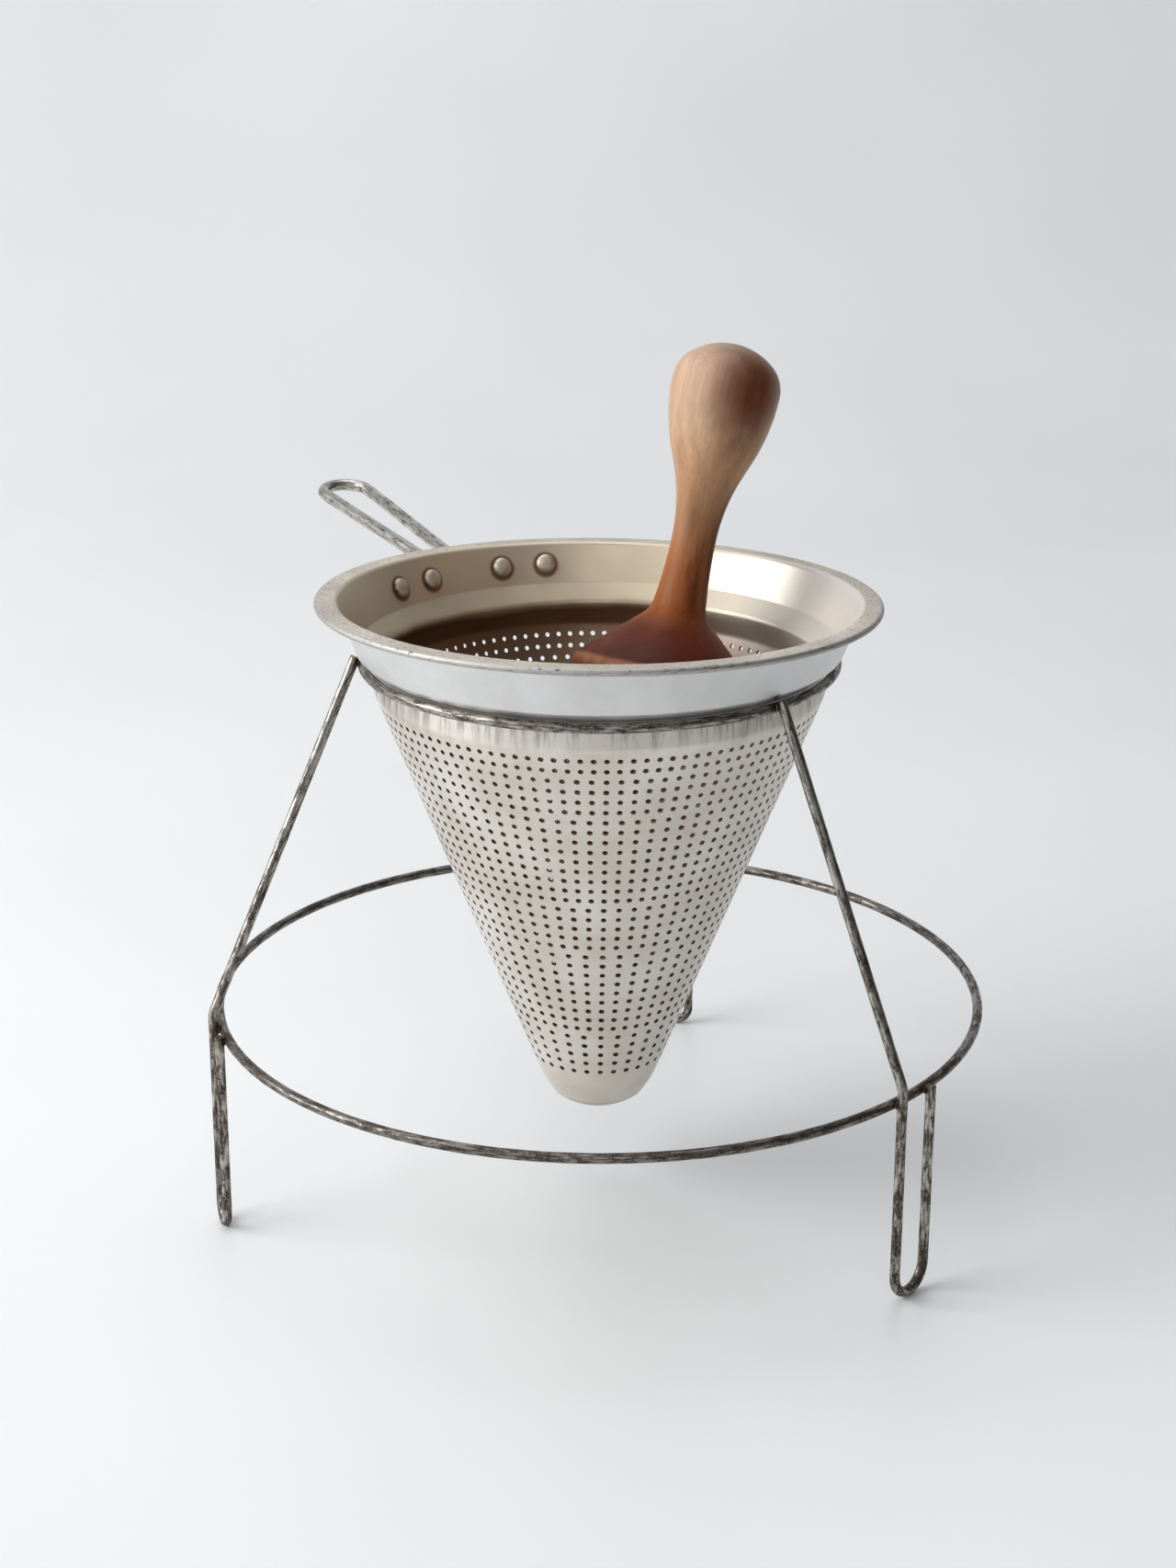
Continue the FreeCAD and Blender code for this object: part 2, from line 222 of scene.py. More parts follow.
# Painted board, semi-gloss: the eye sees a pale even sheet with a blurred sheen.
def paintedBoard():
    material, add, coords = newMaterial("paintedBoard")
    cloud = add("TexNoise", {"Scale": grain(400), "Detail": 2}, {"Vector": coords})
    tint = add("ValToRGB", {"stops": [(0.3, "#E9EAEB"), (0.7, "#F0F1F1")]}, {"Fac": cloud})
    shader = add("BsdfPrincipled", {"Roughness": 0.32, "IOR": 1.5, "Specular IOR Level": 0.35},
                 {"Base Color": tint})
    add("OutputMaterial", {}, {"Surface": shader})
    return material


studioSizes = {"halfWidth": 3.0, "front": -2.6, "back": 1.9, "sweepRadius": 0.9, "wallTop": 3.4}
bm = bmesh.new()
sweepCorners = [
    ((studioSizes["front"], 0), 0),
    ((studioSizes["back"], 0), studioSizes["sweepRadius"]),
    ((studioSizes["back"], studioSizes["wallTop"]), 0),
]
line = [bm.verts.new((-studioSizes["halfWidth"], point.x, point.y)) for point in bentLine(sweepCorners, 4.0)]
lineEdges = [bm.edges.new(pair) for pair in zip(line, line[1:])]
across = bmesh.ops.extrude_edge_only(bm, edges=lineEdges)
bmesh.ops.translate(bm, verts=vertsIn(across["geom"]), vec=(2 * studioSizes["halfWidth"], 0, 0))
closeShape(bm)
if sum(face.normal.z for face in bm.faces) < 0:
    bmesh.ops.reverse_faces(bm, faces=bm.faces[:])
for face in bm.faces:
    face.smooth = True
studioMesh = bpy.data.meshes.new("studioSweep")
bm.to_mesh(studioMesh)
bm.free()
studioMesh.materials.append(paintedBoard())
studioSweep = bpy.data.objects.new("studioSweep", studioMesh)
bpy.context.scene.collection.objects.link(studioSweep)
print("studio ready")


sieveSizes = {
    "sheet": 1.0,
    "tipHeight": 28.3,
    "crease": (16.0, 34.0),
    "coneFoot": (21.6, 44.3),
    "coneTop": (76.2, 182.5),
    "holeRadius": 0.89,
    "firstRowHeight": 180.0,
    "rowDrop": 3.952,
    "bandEdge": 1.58,  # height from a band's outer row to its edge
    "bandLap": 0.8,  # height bridged between the bands and the plain parts
    "plainReach": 2.6,  # distance to a hole, given to every point that isn't on a hole's edge
    "bands": [(112, 2), (96, 4), (80, 9), (64, 5), (48, 9), (32, 5)],  # holes in a row, rows
    "columnAzimuth": 271.9,
    "roundedBelow": 44,  # height under which the sheet curves in to the tip
    "bandFoot": (183.6, 5.0),  # height where the cone turns upright, bend radius
    "collar": [  # reach, height, bend radius: upright band, shoulder, slope, flange hemmed back under itself
        (76.2, 191.6, 1.6), (82.2, 197.25, 2.2), (88.41, 212.6, 0.9),
        (94.25, 212.6, 0.149), (94.25, 212.3, 0.149), (89.4, 212.3, 0)],
    "collarSlope": 0.404,  # reach gained per height
    "flangeTop": (88, 212.9),  # reach and height past which the flange's top begins
    "filmEnd": (93.7, 94.9),  # the inside's film fades out between these reaches of the flange
    "rimSlant": (0.15, -0.75, -2.35),  # mean rise, then rise along X and Y at the rim
    "slantHeights": (200, 211.5),  # the slant fades in between these
}


def coneReach(height):
    (lowReach, low), (highReach, high) = sieveSizes["coneFoot"], sieveSizes["coneTop"]
    return lowReach + (height - low) * (highReach - lowReach) / (high - low)


# One band of the cone: a grid of cells, each inset and opened to a round hole, then wrapped round the cone.
def perforatedBand(columns, rows, topRow):
    bm = bmesh.new()
    reachLayer = bm.verts.layers.float.new("holeReach")
    drop, edge, hole = sieveSizes["rowDrop"], sieveSizes["bandEdge"], sieveSizes["holeRadius"]
    firstHeight = sieveSizes["firstRowHeight"] - topRow * drop
    slant = math.atan(coneReach(1.0) - coneReach(0.0))
    bmesh.ops.create_grid(bm, x_segments=columns, y_segments=rows, size=0.5)
    for vert in bm.verts:  # unrolled: degrees round the cone, then height in millimetres
        row = (0.5 - vert.co.y) * rows
        height = firstHeight + drop / 2 - row * drop
        height = min(max(height, firstHeight - (rows - 1) * drop - edge), firstHeight + edge)
        vert.co = Vector(((vert.co.x + 0.5) * 360, height, 0))
    cells = bm.faces[:]
    level = [edge for edge in bm.edges if abs(edge.verts[0].co.y - edge.verts[1].co.y) < 1e-4]
    bmesh.ops.bisect_edges(bm, edges=level, cuts=1)
    bmesh.ops.inset_individual(bm, faces=cells, thickness=0.3, use_even_offset=True)
    bmesh.ops.bisect_edges(bm, edges=list({edge for cell in cells for edge in cell.edges}), cuts=1)
    for cell in cells:
        centre = cell.calc_center_bounds()
        row = round((firstHeight - centre.y) / drop)
        column = math.floor(centre.x / (360 / columns))
        holeX, holeY = (column + 0.5) * 360 / columns, firstHeight - row * drop
        degrees = math.degrees(1 / coneReach(holeY))
        ring = [loop.vert for loop in cell.loops]
        start = max(range(len(ring)), key=lambda i: ring[i].co.y - abs(ring[i].co.x - holeX) * 0.5)
        sense = 1 if ring[(start + 1) % len(ring)].co.x < holeX else -1
        for i in range(len(ring)):
            angle = math.pi / 2 + sense * math.tau * i / len(ring)
            vert = ring[(start + i) % len(ring)]
            vert.co = Vector((holeX + hole * math.cos(angle) * degrees,
                              holeY + hole * math.sin(angle) * math.cos(slant), 0))
            vert[reachLayer] = hole
    bmesh.ops.delete(bm, geom=cells, context="FACES_ONLY")
    start = sieveSizes["columnAzimuth"] - 180 / columns
    for vert in bm.verts:
        if vert[reachLayer] == 0:
            vert[reachLayer] = sieveSizes["plainReach"]
        angle = math.radians(start + vert.co.x)
        reach = coneReach(vert.co.y)
        vert.co = Vector((math.cos(angle) * reach, math.sin(angle) * reach, vert.co.y))
    bmesh.ops.remove_doubles(bm, verts=bm.verts[:], dist=1e-3)
    mesh = bpy.data.meshes.new("band")
    bm.to_mesh(mesh)
    bm.free()
    return mesh, firstHeight + edge, firstHeight - (rows - 1) * drop - edge


def openLoop(bm, height):
    return [e for e in bm.edges if len(e.link_faces) == 1
            and abs(e.verts[0].co.z - height) < 1e-3 and abs(e.verts[1].co.z - height) < 1e-3]


# Reach of the sheet's middle, which tells its inner side from its outer one.
def wallMiddle(height):
    (bandReach, bandTop), (slopeReach, slopeFoot) = [corner[:2] for corner in sieveSizes["collar"][:2]]
    half = sieveSizes["sheet"] / 2
    if height > slopeFoot - half / 2:
        return slopeReach - 1.1 * half + (height - slopeFoot) * sieveSizes["collarSlope"]
    if height > bandTop - 1.2 * half:
        return bandReach - half + height - bandTop
    if height > sieveSizes["coneTop"][1]:
        return bandReach - half
    return coneReach(height) - 1.1 * half


def insideShare(vert):  # 1 on the inner side, 0 on the outer one
    reach, height = vert.co.xy.length, vert.co.z
    flangeReach, flangeHeight = sieveSizes["flangeTop"]
    if reach > flangeReach:  # only the flange's top carries the inside's film
        return 1 - smoothstep(*sieveSizes["filmEnd"], reach) if height > flangeHeight else 0.0
    if height < sieveSizes["roundedBelow"]:
        return 1.0 if vert.normal.z > 0.1 else 0.0
    return 1.0 if reach < wallMiddle(height) else 0.0


def buildSieve():
    bm = bmesh.new()  # in millimetres until the end
    reachLayer = bm.verts.layers.float.new("holeReach")
    insideLayer = bm.verts.layers.float.new("inside")
    joins = []
    row = 0
    for columns, rows in sieveSizes["bands"]:
        mesh, top, bottom = perforatedBand(columns, rows, row)
        bm.from_mesh(mesh)
        bpy.data.meshes.remove(mesh)
        joins += [top, bottom]
        row += rows
    lap = sieveSizes["bandLap"]
    # plain top: end of the cone, then the collar
    bandFoot, bandBend = sieveSizes["bandFoot"]
    collar = [((coneReach(joins[0] + lap), joins[0] + lap), 0), ((coneReach(bandFoot), bandFoot), bandBend)]
    collar += [((reach, height), bend) for reach, height, bend in sieveSizes["collar"]]
    azimuth = sieveSizes["columnAzimuth"]
    topSteps, tipSteps = 2 * sieveSizes["bands"][0][0], 2 * sieveSizes["bands"][-1][0]
    spinProfile(bm, bentLine(collar, 11.0), topSteps, azimuth)
    # plain tip: rounded foot of the cone, the crease and the shallow dome
    crease, foot, tip = sieveSizes["crease"], sieveSizes["coneFoot"], sieveSizes["tipHeight"]
    domeRadius = (crease[0] ** 2 + (crease[1] - tip) ** 2) / (2 * (crease[1] - tip))
    domeSpread = math.asin(crease[0] / domeRadius)
    dome = [(domeRadius * math.sin(domeSpread * i / 9), tip + domeRadius * (1 - math.cos(domeSpread * i / 9)))
            for i in range(10)]
    low = joins[-1] - lap
    footRun = [(coneReach(low), low), foot] + [tuple(p) for p in arcRun(foot, crease, -40.0, 5)]
    spinProfile(bm, dome + footRun[::-1][1:], tipSteps, azimuth)
    closeShape(bm)
    heights = [joins[0] + lap] + joins + [low]
    for upper, lower in zip(heights[0::2], heights[1::2]):
        bmesh.ops.bridge_loops(bm, edges=openLoop(bm, upper) + openLoop(bm, lower))
    bmesh.ops.recalc_face_normals(bm, faces=bm.faces[:])
    bandMiddle = (bandFoot + sieveSizes["collar"][0][1]) / 2
    sample = max(bm.faces, key=lambda face: -abs(face.calc_center_median().z - bandMiddle))
    if sample.normal.dot(outwardFrom(sample.calc_center_median())) < 0:
        bmesh.ops.reverse_faces(bm, faces=bm.faces[:])
    for vert in bm.verts:
        if vert[reachLayer] == 0:
            vert[reachLayer] = sieveSizes["plainReach"]
    # the wall: the inner side is the outer one moved in by the sheet's thickness
    bm.normal_update()
    inner = bmesh.ops.extrude_face_region(bm, geom=bm.faces[:], use_keep_orig=True)["geom"]
    for vert in vertsIn(inner):
        vert.co -= vert.normal * sieveSizes["sheet"]
    bmesh.ops.recalc_face_normals(bm, faces=bm.faces[:])
    bm.normal_update()
    for vert in bm.verts:
        vert[insideLayer] = insideShare(vert)
    for face in bm.faces:
        if max(vert[reachLayer] for vert in face.verts) < 1:
            face.material_index = 1
    # the worn rim is no longer level: the collar ends on a slanting plane, higher at the front left
    (rise, slantX, slantY), (low, high) = sieveSizes["rimSlant"], sieveSizes["slantHeights"]
    for vert in bm.verts:
        outward = outwardFrom(vert.co)
        lift = (rise + slantX * outward.x + slantY * outward.y) * smoothstep(low, high, vert.co.z)
        vert.co += (outward * sieveSizes["collarSlope"] + up) * lift
    bmesh.ops.scale(bm, vec=(0.001, 0.001, 0.001), verts=bm.verts[:])
    return bm


# Spun aluminium sheet, worn and food-stained: satin grey with faint rings, tan inside, brown at each hole.
def spunAluminium():
    material, add, coords = newMaterial("spunAluminium")
    split = add("SeparateXYZ", {}, {"Vector": coords})
    height = split.outputs["Z"]
    flat = add("VectorMath", {"operation": "MULTIPLY", 1: (1, 1, 0)}, {0: coords})
    reach = add("VectorMath", {"operation": "LENGTH"}, {0: flat}).outputs["Value"]
    way = add("VectorMath", {"operation": "NORMALIZE"}, {0: flat})
    along = add("Math", {"operation": "ADD"}, {0: height, 1: reach})
    inside = add("Attribute", {"attribute_name": "inside"}).outputs["Fac"]
    outside = add("Math", {"operation": "SUBTRACT", 0: 1.0}, {1: inside})
    holeReach = add("Attribute", {"attribute_name": "holeReach"}).outputs["Fac"]

    # spinning rings: fine lines round the axis, about 0.7 mm apart
    ringZ = add("Math", {"operation": "MULTIPLY", 1: grain(0.7)}, {0: along})
    ringX = add("Math", {"operation": "MULTIPLY", 1: grain(45)}, {0: split.outputs["X"]})
    ringY = add("Math", {"operation": "MULTIPLY", 1: grain(45)}, {0: split.outputs["Y"]})
    ringPlace = add("CombineXYZ", {}, {"X": ringX, "Y": ringY, "Z": ringZ})
    rings = add("TexNoise", {"Scale": 1.0, "Detail": 3, "Roughness": 0.6}, {"Vector": ringPlace})

    # outside: warm grey cone, cleaner silver collar
    cloud = add("TexNoise", {"Scale": grain(28), "Detail": 5, "Roughness": 0.55}, {"Vector": coords})
    coneTint = add("ValToRGB", {"stops": [
        (0.30, "#CEC7BB"), (0.52, "#DDD8CF"), (0.72, "#EAE7E1")]}, {"Fac": cloud})
    collarTint = add("ValToRGB", {"stops": [(0.30, "#D0CFCD"), (0.72, "#E6E6E6")]}, {"Fac": cloud})
    collarShare = add("MapRange", {"range": (0.1900, 0.1955)}, {"Value": height})
    outerTint = add("MixRGB", {}, {"Fac": collarShare, "Color1": coneTint, "Color2": collarTint})

    # inside: tan film on collar and shoulder, brown where the food sat in the upper cone, greyer lower down;
    # the tan and brown are painted only on the left and back, which face away from the window: painted shade
    # and painted reflection over the film, while the right keeps the lit silver
    wobble = add("TexNoise", {"Scale": grain(40), "Detail": 3}, {"Vector": coords})
    wobbleSmall = add("Math", {"operation": "MULTIPLY_ADD", 1: 0.03, 2: -0.015}, {0: wobble})
    heightShare = add("MapRange", {"range": (0.030, 0.230)}, {"Value": height})
    heightPlace = add("Math", {"operation": "ADD"}, {0: heightShare, 1: wobbleSmall})
    filmAndShadeTint = add("ValToRGB", {"stops": [
        (0.0, "#A99B8A"), (0.45, "#AB9D8C"), (0.62, "#A89986"), (0.71, "#86705A"), (0.798, "#65472B"),
        (0.817, "#CBBDA5"), (1.0, "#D6CAB4")]}, {"Fac": heightPlace})
    litSideTint = add("ValToRGB", {"stops": [
        (0.0, "#B5ACA1"), (0.62, "#BDB5AB"), (0.79, "#C2BBB2"), (0.815, "#D2CDC5"),
        (1.0, "#E2DFDA")]}, {"Fac": heightPlace})
    # painted shade and painted reflection: the film colours only the left and back of the inside, away from
    # the window
    filmAndShadeSide = add("VectorMath", {"operation": "DOT_PRODUCT", 1: (-0.88, 0.47, 0)}, {0: way}).outputs["Value"]
    filmAndShadeShare = add("MapRange", {"range": (-0.70, 0.20), "interpolation_type": "SMOOTHSTEP"},
                    {"Value": filmAndShadeSide})
    innerTint = add("MixRGB", {}, {"Fac": filmAndShadeShare, "Color1": litSideTint, "Color2": filmAndShadeTint})
    sides = add("MixRGB", {}, {"Fac": inside, "Color1": outerTint, "Color2": innerTint})

    # upright grey smears on the cone just under the stand's ring
    smearPlace = add("Mapping", {"Scale": (1, 1, 0.10)}, {"Vector": coords})
    smear = add("TexNoise", {"Scale": grain(3.4), "Detail": 5, "Roughness": 0.72}, {"Vector": smearPlace})
    smearCut = add("MapRange", {"range": (0.46, 0.72)}, {"Value": smear})
    smearLow = add("Math", {"operation": "MULTIPLY_ADD", 1: 0.012, 2: 0.1745}, {0: cloud})
    smearTop = add("MapRange", {"From Max": 0.1895, "interpolation_type": "SMOOTHSTEP"},
                   {"Value": height, "From Min": smearLow})
    smearEnd = add("MapRange", {"range": (0.1925, 0.1905), "interpolation_type": "SMOOTHSTEP"},
                   {"Value": height})
    smearBand = add("Math", {"operation": "MULTIPLY"}, {0: smearTop, 1: smearEnd})
    smearOut = add("Math", {"operation": "MULTIPLY"}, {0: smearBand, 1: outside})
    smearMask = add("Math", {"operation": "MULTIPLY"}, {0: smearOut, 1: smearCut})
    smeared = add("MixRGB", {"Color2": "#55534F"}, {"Fac": smearMask, "Color1": sides})

    # stain rings round the holes
    stainNoise = add("TexNoise", {"Scale": grain(9), "Detail": 2}, {"Vector": coords})
    stainWidth = add("MapRange", {"range": (0.35, 0.7, 0.95, 1.35)}, {"Value": stainNoise})
    stain = add("MapRange", {"From Min": 0.89, "To Min": 1.0, "To Max": 0.0},
                {"Value": holeReach, "From Max": stainWidth})
    stainShare = add("Math", {"operation": "MULTIPLY", 1: 0.8}, {0: stain})
    stained = add("MixRGB", {"Color2": "#6A452E"}, {"Fac": stainShare, "Color1": smeared})

    # darker dome under the crease: painted shade of the dome's underside and a painted reflection of its own
    # shadow on the floor
    domeShadeMask = add("MapRange", {"range": (0.0350, 0.0338)}, {"Value": height})
    domeShadeShare = add("Math", {"operation": "MULTIPLY", 1: 0.6}, {0: domeShadeMask})
    color = add("MixRGB", {"Color2": "#A09890"}, {"Fac": domeShadeShare, "Color1": stained})

    # brown rings where the rivets have stained the wall, heaviest below
    for place in rivetPlaces():
        low = place - up * 0.0003
        gap = add("VectorMath", {"operation": "DISTANCE", 1: low}, {0: coords}).outputs["Value"]
        ring = add("MapRange", {"range": (0.0053, 0.0041), "interpolation_type": "SMOOTHSTEP"},
                   {"Value": gap})
        ringIn = add("Math", {"operation": "MULTIPLY"}, {0: ring, 1: inside})
        ringShare = add("Math", {"operation": "MULTIPLY", 1: 0.85}, {0: ringIn})
        color = add("MixRGB", {"Color2": "#784818"}, {"Fac": ringShare, "Color1": color})

    # the flange: tan film on top, bare grey edge, short dark scratches that run round it
    rimMask = add("MapRange", {"range": (0.0884, 0.0892)}, {"Value": reach})
    rimTop = add("ValToRGB", {"stops": [
        (0.34, "#BFB4A6"), (0.55, "#D3CABC"), (0.72, "#E2DDD4")]}, {"Fac": cloud})
    rimTint = add("MixRGB", {"Color1": "#BBB8B4"}, {"Fac": inside, "Color2": rimTop})
    rimmed = add("MixRGB", {}, {"Fac": rimMask, "Color1": color, "Color2": rimTint})
    angle = add("Math", {"operation": "ARCTAN2"}, {0: split.outputs["Y"], 1: split.outputs["X"]})
    roundRim = add("Math", {"operation": "MULTIPLY", 1: 32.0}, {0: angle})
    acrossRim = add("Math", {"operation": "MULTIPLY", 1: grain(0.55)}, {0: along})
    rimPlace = add("CombineXYZ", {}, {"X": roundRim, "Y": acrossRim})
    scratch = add("TexNoise", {"Scale": 1.0, "Detail": 3, "Roughness": 0.62}, {"Vector": rimPlace})
    scratchCut = add("MapRange", {"range": (0.545, 0.66)}, {"Value": scratch})
    rimScratch = add("Math", {"operation": "MULTIPLY"}, {0: scratchCut, 1: rimMask})
    rimShare = add("Math", {"operation": "MULTIPLY", 1: 0.75}, {0: rimScratch})
    scratched = add("MixRGB", {"Color2": "#5F574E"}, {"Fac": rimShare, "Color1": rimmed})

    roughBase = add("MapRange", {"range": (0.3, 0.7, 0.36, 0.50)}, {"Value": cloud})
    roughRings = add("Math", {"operation": "MULTIPLY_ADD", 1: 0.12, 2: -0.06}, {0: rings})
    roughSum = add("Math", {"operation": "ADD"}, {0: roughBase, 1: roughRings})
    roughInside = add("Math", {"operation": "MULTIPLY_ADD", 1: -0.02}, {0: inside, 2: roughSum})
    rough = add("Math", {"operation": "MULTIPLY_ADD", 1: 0.15}, {0: rimMask, 2: roughInside})
    pits = add("TexNoise", {"Scale": grain(1.6), "Detail": 4, "Roughness": 0.6}, {"Vector": coords})
    bumpRings = add("Bump", {"Strength": 0.10, "Distance": 0.0002}, {"Height": rings})
    bump = add("Bump", {"Strength": 0.10, "Distance": 0.0003}, {"Height": pits, "Normal": bumpRings})
    metal = add("MapRange", {"range": (0, 1, 1.0, 0.6)}, {"Value": inside})  # the film dulls it
    shader = add("BsdfPrincipled", {},
                 {"Base Color": scratched, "Metallic": metal, "Roughness": rough, "Normal": bump})
    add("OutputMaterial", {}, {"Surface": shader})
    return material


# Hole edges in the same sheet, dull with dried food: the eye sees dark brown rings.
def stainedHoleEdge():
    material, add, coords = newMaterial("stainedHoleEdge")
    blot = add("TexNoise", {"Scale": grain(6), "Detail": 3}, {"Vector": coords})
    tint = add("ValToRGB", {"stops": [
        (0.35, "#3A1F12"), (0.60, "#6E452D"), (0.78, "#A08F80")]}, {"Fac": blot})
    fine = add("TexNoise", {"Scale": grain(0.5), "Detail": 2}, {"Vector": coords})
    bump = add("Bump", {"Strength": 0.3, "Distance": 0.0001}, {"Height": fine})
    rough = add("MapRange", {"range": (0, 1, 0.5, 0.75)}, {"Value": blot})
    shader = add("BsdfPrincipled", {"Metallic": 0.35},
                 {"Base Color": tint, "Roughness": rough, "Normal": bump})
    add("OutputMaterial", {}, {"Surface": shader})
    return material


rivetSizes = {
    "azimuths": (103.7, 115.1, 135.7, 146.9),
    "slope": 22.0,  # the collar's, from upright
    "wallReach": 84.95,
    "wallHeight": 204.0,
    "wall": 1.0,
    "strap": 2.2,
    "headRadius": 3.65,
    "headHeight": 2.2,
    "tailRadius": 3.1,
    "tailHeight": 1.5,
    "headEdge": 0.25,
    "tailEdge": 0.3,
    "shankRadius": 2.0,
    "gap": 0.02,  # between a rivet and the metal it holds
}


def rivetFrame(azimuth):  # origin on the collar's outside, Z square to the wall and into the sieve
    tilt = turnAbout("Y", rivetSizes["slope"] - 90)
    place = Matrix.Translation((mm(rivetSizes["wallReach"]), 0, mm(rivetSizes["wallHeight"])))
    return turnAbout("Z", azimuth) @ place @ tilt


def rivetPlaces():
    inside = up * mm(rivetSizes["wall"])
    return [rivetFrame(azimuth) @ inside for azimuth in rivetSizes["azimuths"]]


finishPiece(buildSieve(), "perforated_sieve", [spunAluminium(), stainedHoleEdge()],
            "sieve_with_handle", ["sieve"])


# Cold-headed aluminium: soft grey domes with a dull sheen and a brown line of rust at the foot.
def headedAluminium():
    material, add, coords = newMaterial("headedAluminium")
    cloud = add("TexNoise", {"Scale": grain(2.5), "Detail": 4}, {"Vector": coords})
    tint = add("ValToRGB", {"stops": [
        (0.32, "#BDB3A3"), (0.55, "#D6CEC1"), (0.75, "#E4DED3")]}, {"Fac": cloud})
    foot = add("Attribute", {"attribute_name": "foot"}).outputs["Fac"]
    footNoise = add("Math", {"operation": "MULTIPLY_ADD", 1: 0.5, 2: -0.25}, {0: cloud})
    footEdge = add("Math", {"operation": "ADD"}, {0: foot, 1: footNoise})
    rust = add("MapRange", {"range": (0.84, 1.06)}, {"Value": footEdge})
    color = add("MixRGB", {"Color2": "#6B421C"}, {"Fac": rust, "Color1": tint})
    rough = add("MapRange", {"range": (0, 1, 0.38, 0.6)}, {"Value": cloud})
    bump = add("Bump", {"Strength": 0.15, "Distance": 0.0002}, {"Height": cloud})
    shader = add("BsdfPrincipled", {"Metallic": 0.9},
                 {"Base Color": color, "Roughness": rough, "Normal": bump})
    add("OutputMaterial", {}, {"Surface": shader})
    return material


def buildRivet(azimuth):
    bm = bmesh.new()
    footLayer = bm.verts.layers.float.new("foot")
    wall, strap = rivetSizes["wall"], -rivetSizes["strap"]
    headRadius, headHeight = rivetSizes["headRadius"], rivetSizes["headHeight"]
    tailRadius, tailHeight = rivetSizes["tailRadius"], rivetSizes["tailHeight"]
    headEdge, tailEdge = rivetSizes["headEdge"], rivetSizes["tailEdge"]
    shank, gap = rivetSizes["shankRadius"], rivetSizes["gap"]
    profile = [(0, wall + headHeight)]
    for angle in [math.radians(10 * i) for i in range(1, 9)]:
        profile.append((headRadius * math.sin(angle) ** 0.92,
                        wall + headEdge + (headHeight - headEdge) * math.cos(angle) ** 0.85))
    profile += [(headRadius, wall + headEdge), (headRadius, wall + gap), (shank, wall + gap),
                (shank, strap - gap), (tailRadius, strap - gap), (tailRadius, strap - tailEdge)]
    for angle in [math.radians(12 * i) for i in range(1, 8)]:
        profile.append((tailRadius * math.cos(angle),
                        strap - tailEdge - (tailHeight - tailEdge) * math.sin(angle)))
    profile.append((0, strap - tailHeight))
    spinProfile(bm, [(mm(reach), mm(height)) for reach, height in profile], 36)
    closeShape(bm)
    for vert in bm.verts:
        reach = math.hypot(vert.co.x, vert.co.y)
        vert[footLayer] = reach / mm(headRadius if vert.co.z > 0 else tailRadius)
    bmesh.ops.transform(bm, matrix=rivetFrame(azimuth), verts=bm.verts[:])
    return bm


rivetMetal = headedAluminium()
for number, azimuth in enumerate(rivetSizes["azimuths"], 1):
    finishPiece(buildRivet(azimuth), "rivet_head_%d" % number, [rivetMetal], "sieve_with_handle",
                ["handle_rivet_%d" % number])


# A wire swept along stations: point, direction of its wide side, half width, half thickness and
# squareness from 0 to 1.
def sweepWire(bm, stations, sides, wander):
    vectors = bm.verts.layers.float_vector
    turnLayer = bm.verts.layers.float.new("turn")
    placeLayer = vectors.get("wirePlace") or vectors.new("wirePlace")
    count, run = len(stations), 0.0
    first = bmesh.ops.create_circle(bm, segments=sides, radius=1)["verts"]
    for vert in first:
        vert[turnLayer] = math.atan2(vert.co.y, vert.co.x)
    ring, rings = first, []
    for index, (point, wide, halfWide, halfThick, square) in enumerate(stations):
        point = Vector(point)
        before = Vector(stations[max(index - 1, 0)][0])
        run += (point - before).length
        after = Vector(stations[min(index + 1, count - 1)][0])
        along = (after - before).normalized()
        wideWay = (Vector(wide) - along * along.dot(Vector(wide))).normalized()
        thickWay = along.cross(wideWay)
        if index:
            edges = list({edge for vert in ring for edge in vert.link_edges
                          if edge.verts[0] in ring and edge.verts[1] in ring})
            ring = vertsIn(bmesh.ops.extrude_edge_only(bm, edges=edges)["geom"])
        ringSet = set(ring)
        power = 1 - 0.62 * square
        for vert in ringSet:
            c, s = math.cos(vert[turnLayer]), math.sin(vert[turnLayer])
            c, s = math.copysign(abs(c) ** power, c), math.copysign(abs(s) ** power, s)
            uneven = 1 + wander * noise.noise(point * 90 + Vector((c, s, 0)) * 0.4)
            vert.co = point + wideWay * c * halfWide * uneven + thickWay * s * halfThick * uneven
            vert[placeLayer] = (c * halfWide, s * halfThick, run)
        ring = list(ringSet)
        rings.append(ring)
    for cap in (rings[0], rings[-1]):
        bmesh.ops.contextual_create(bm, geom=[edge for edge in {e for v in cap for e in v.link_edges}
                                              if edge.verts[0] in cap and edge.verts[1] in cap])


def chamferEnds(bm, size):
    rims = [face for face in bm.faces if len(face.verts) > 8]
    edges = list({edge for face in rims for edge in face.edges})
    bmesh.ops.bevel(bm, geom=edges, affect="EDGES", offset=size, segments=2, profile=0.5, material=-1)


def denser(points, spacing):  # extra points along long straight runs, so that the wire's small wander shows
    out = [points[0]]
    for start, end in zip(points, points[1:]):
        parts = max(1, int((end - start).length / spacing))
        out += [start.lerp(end, (i + 1) / parts) for i in range(parts)]
    return out


# Weld nugget: a small uneven lump where two wires were melted together.
def weldNugget(bm, centre, between, alongRing, seed):
    made = bmesh.ops.create_icosphere(bm, subdivisions=3, radius=1)["verts"]
    thirdWay = between.cross(alongRing).normalized()
    halfBetween, halfAlong, halfThird = [mm(half) for half in standSizes["weldHalf"]]
    for vert in made:
        co = vert.co * (1 + 0.16 * noise.noise(vert.co * 1.7 + Vector((seed * 3.1, 0, 0))))
        vert.co = (centre + between * co.x * halfBetween + alongRing * co.y * halfAlong
                   + thirdWay * co.z * halfThird)
    return made


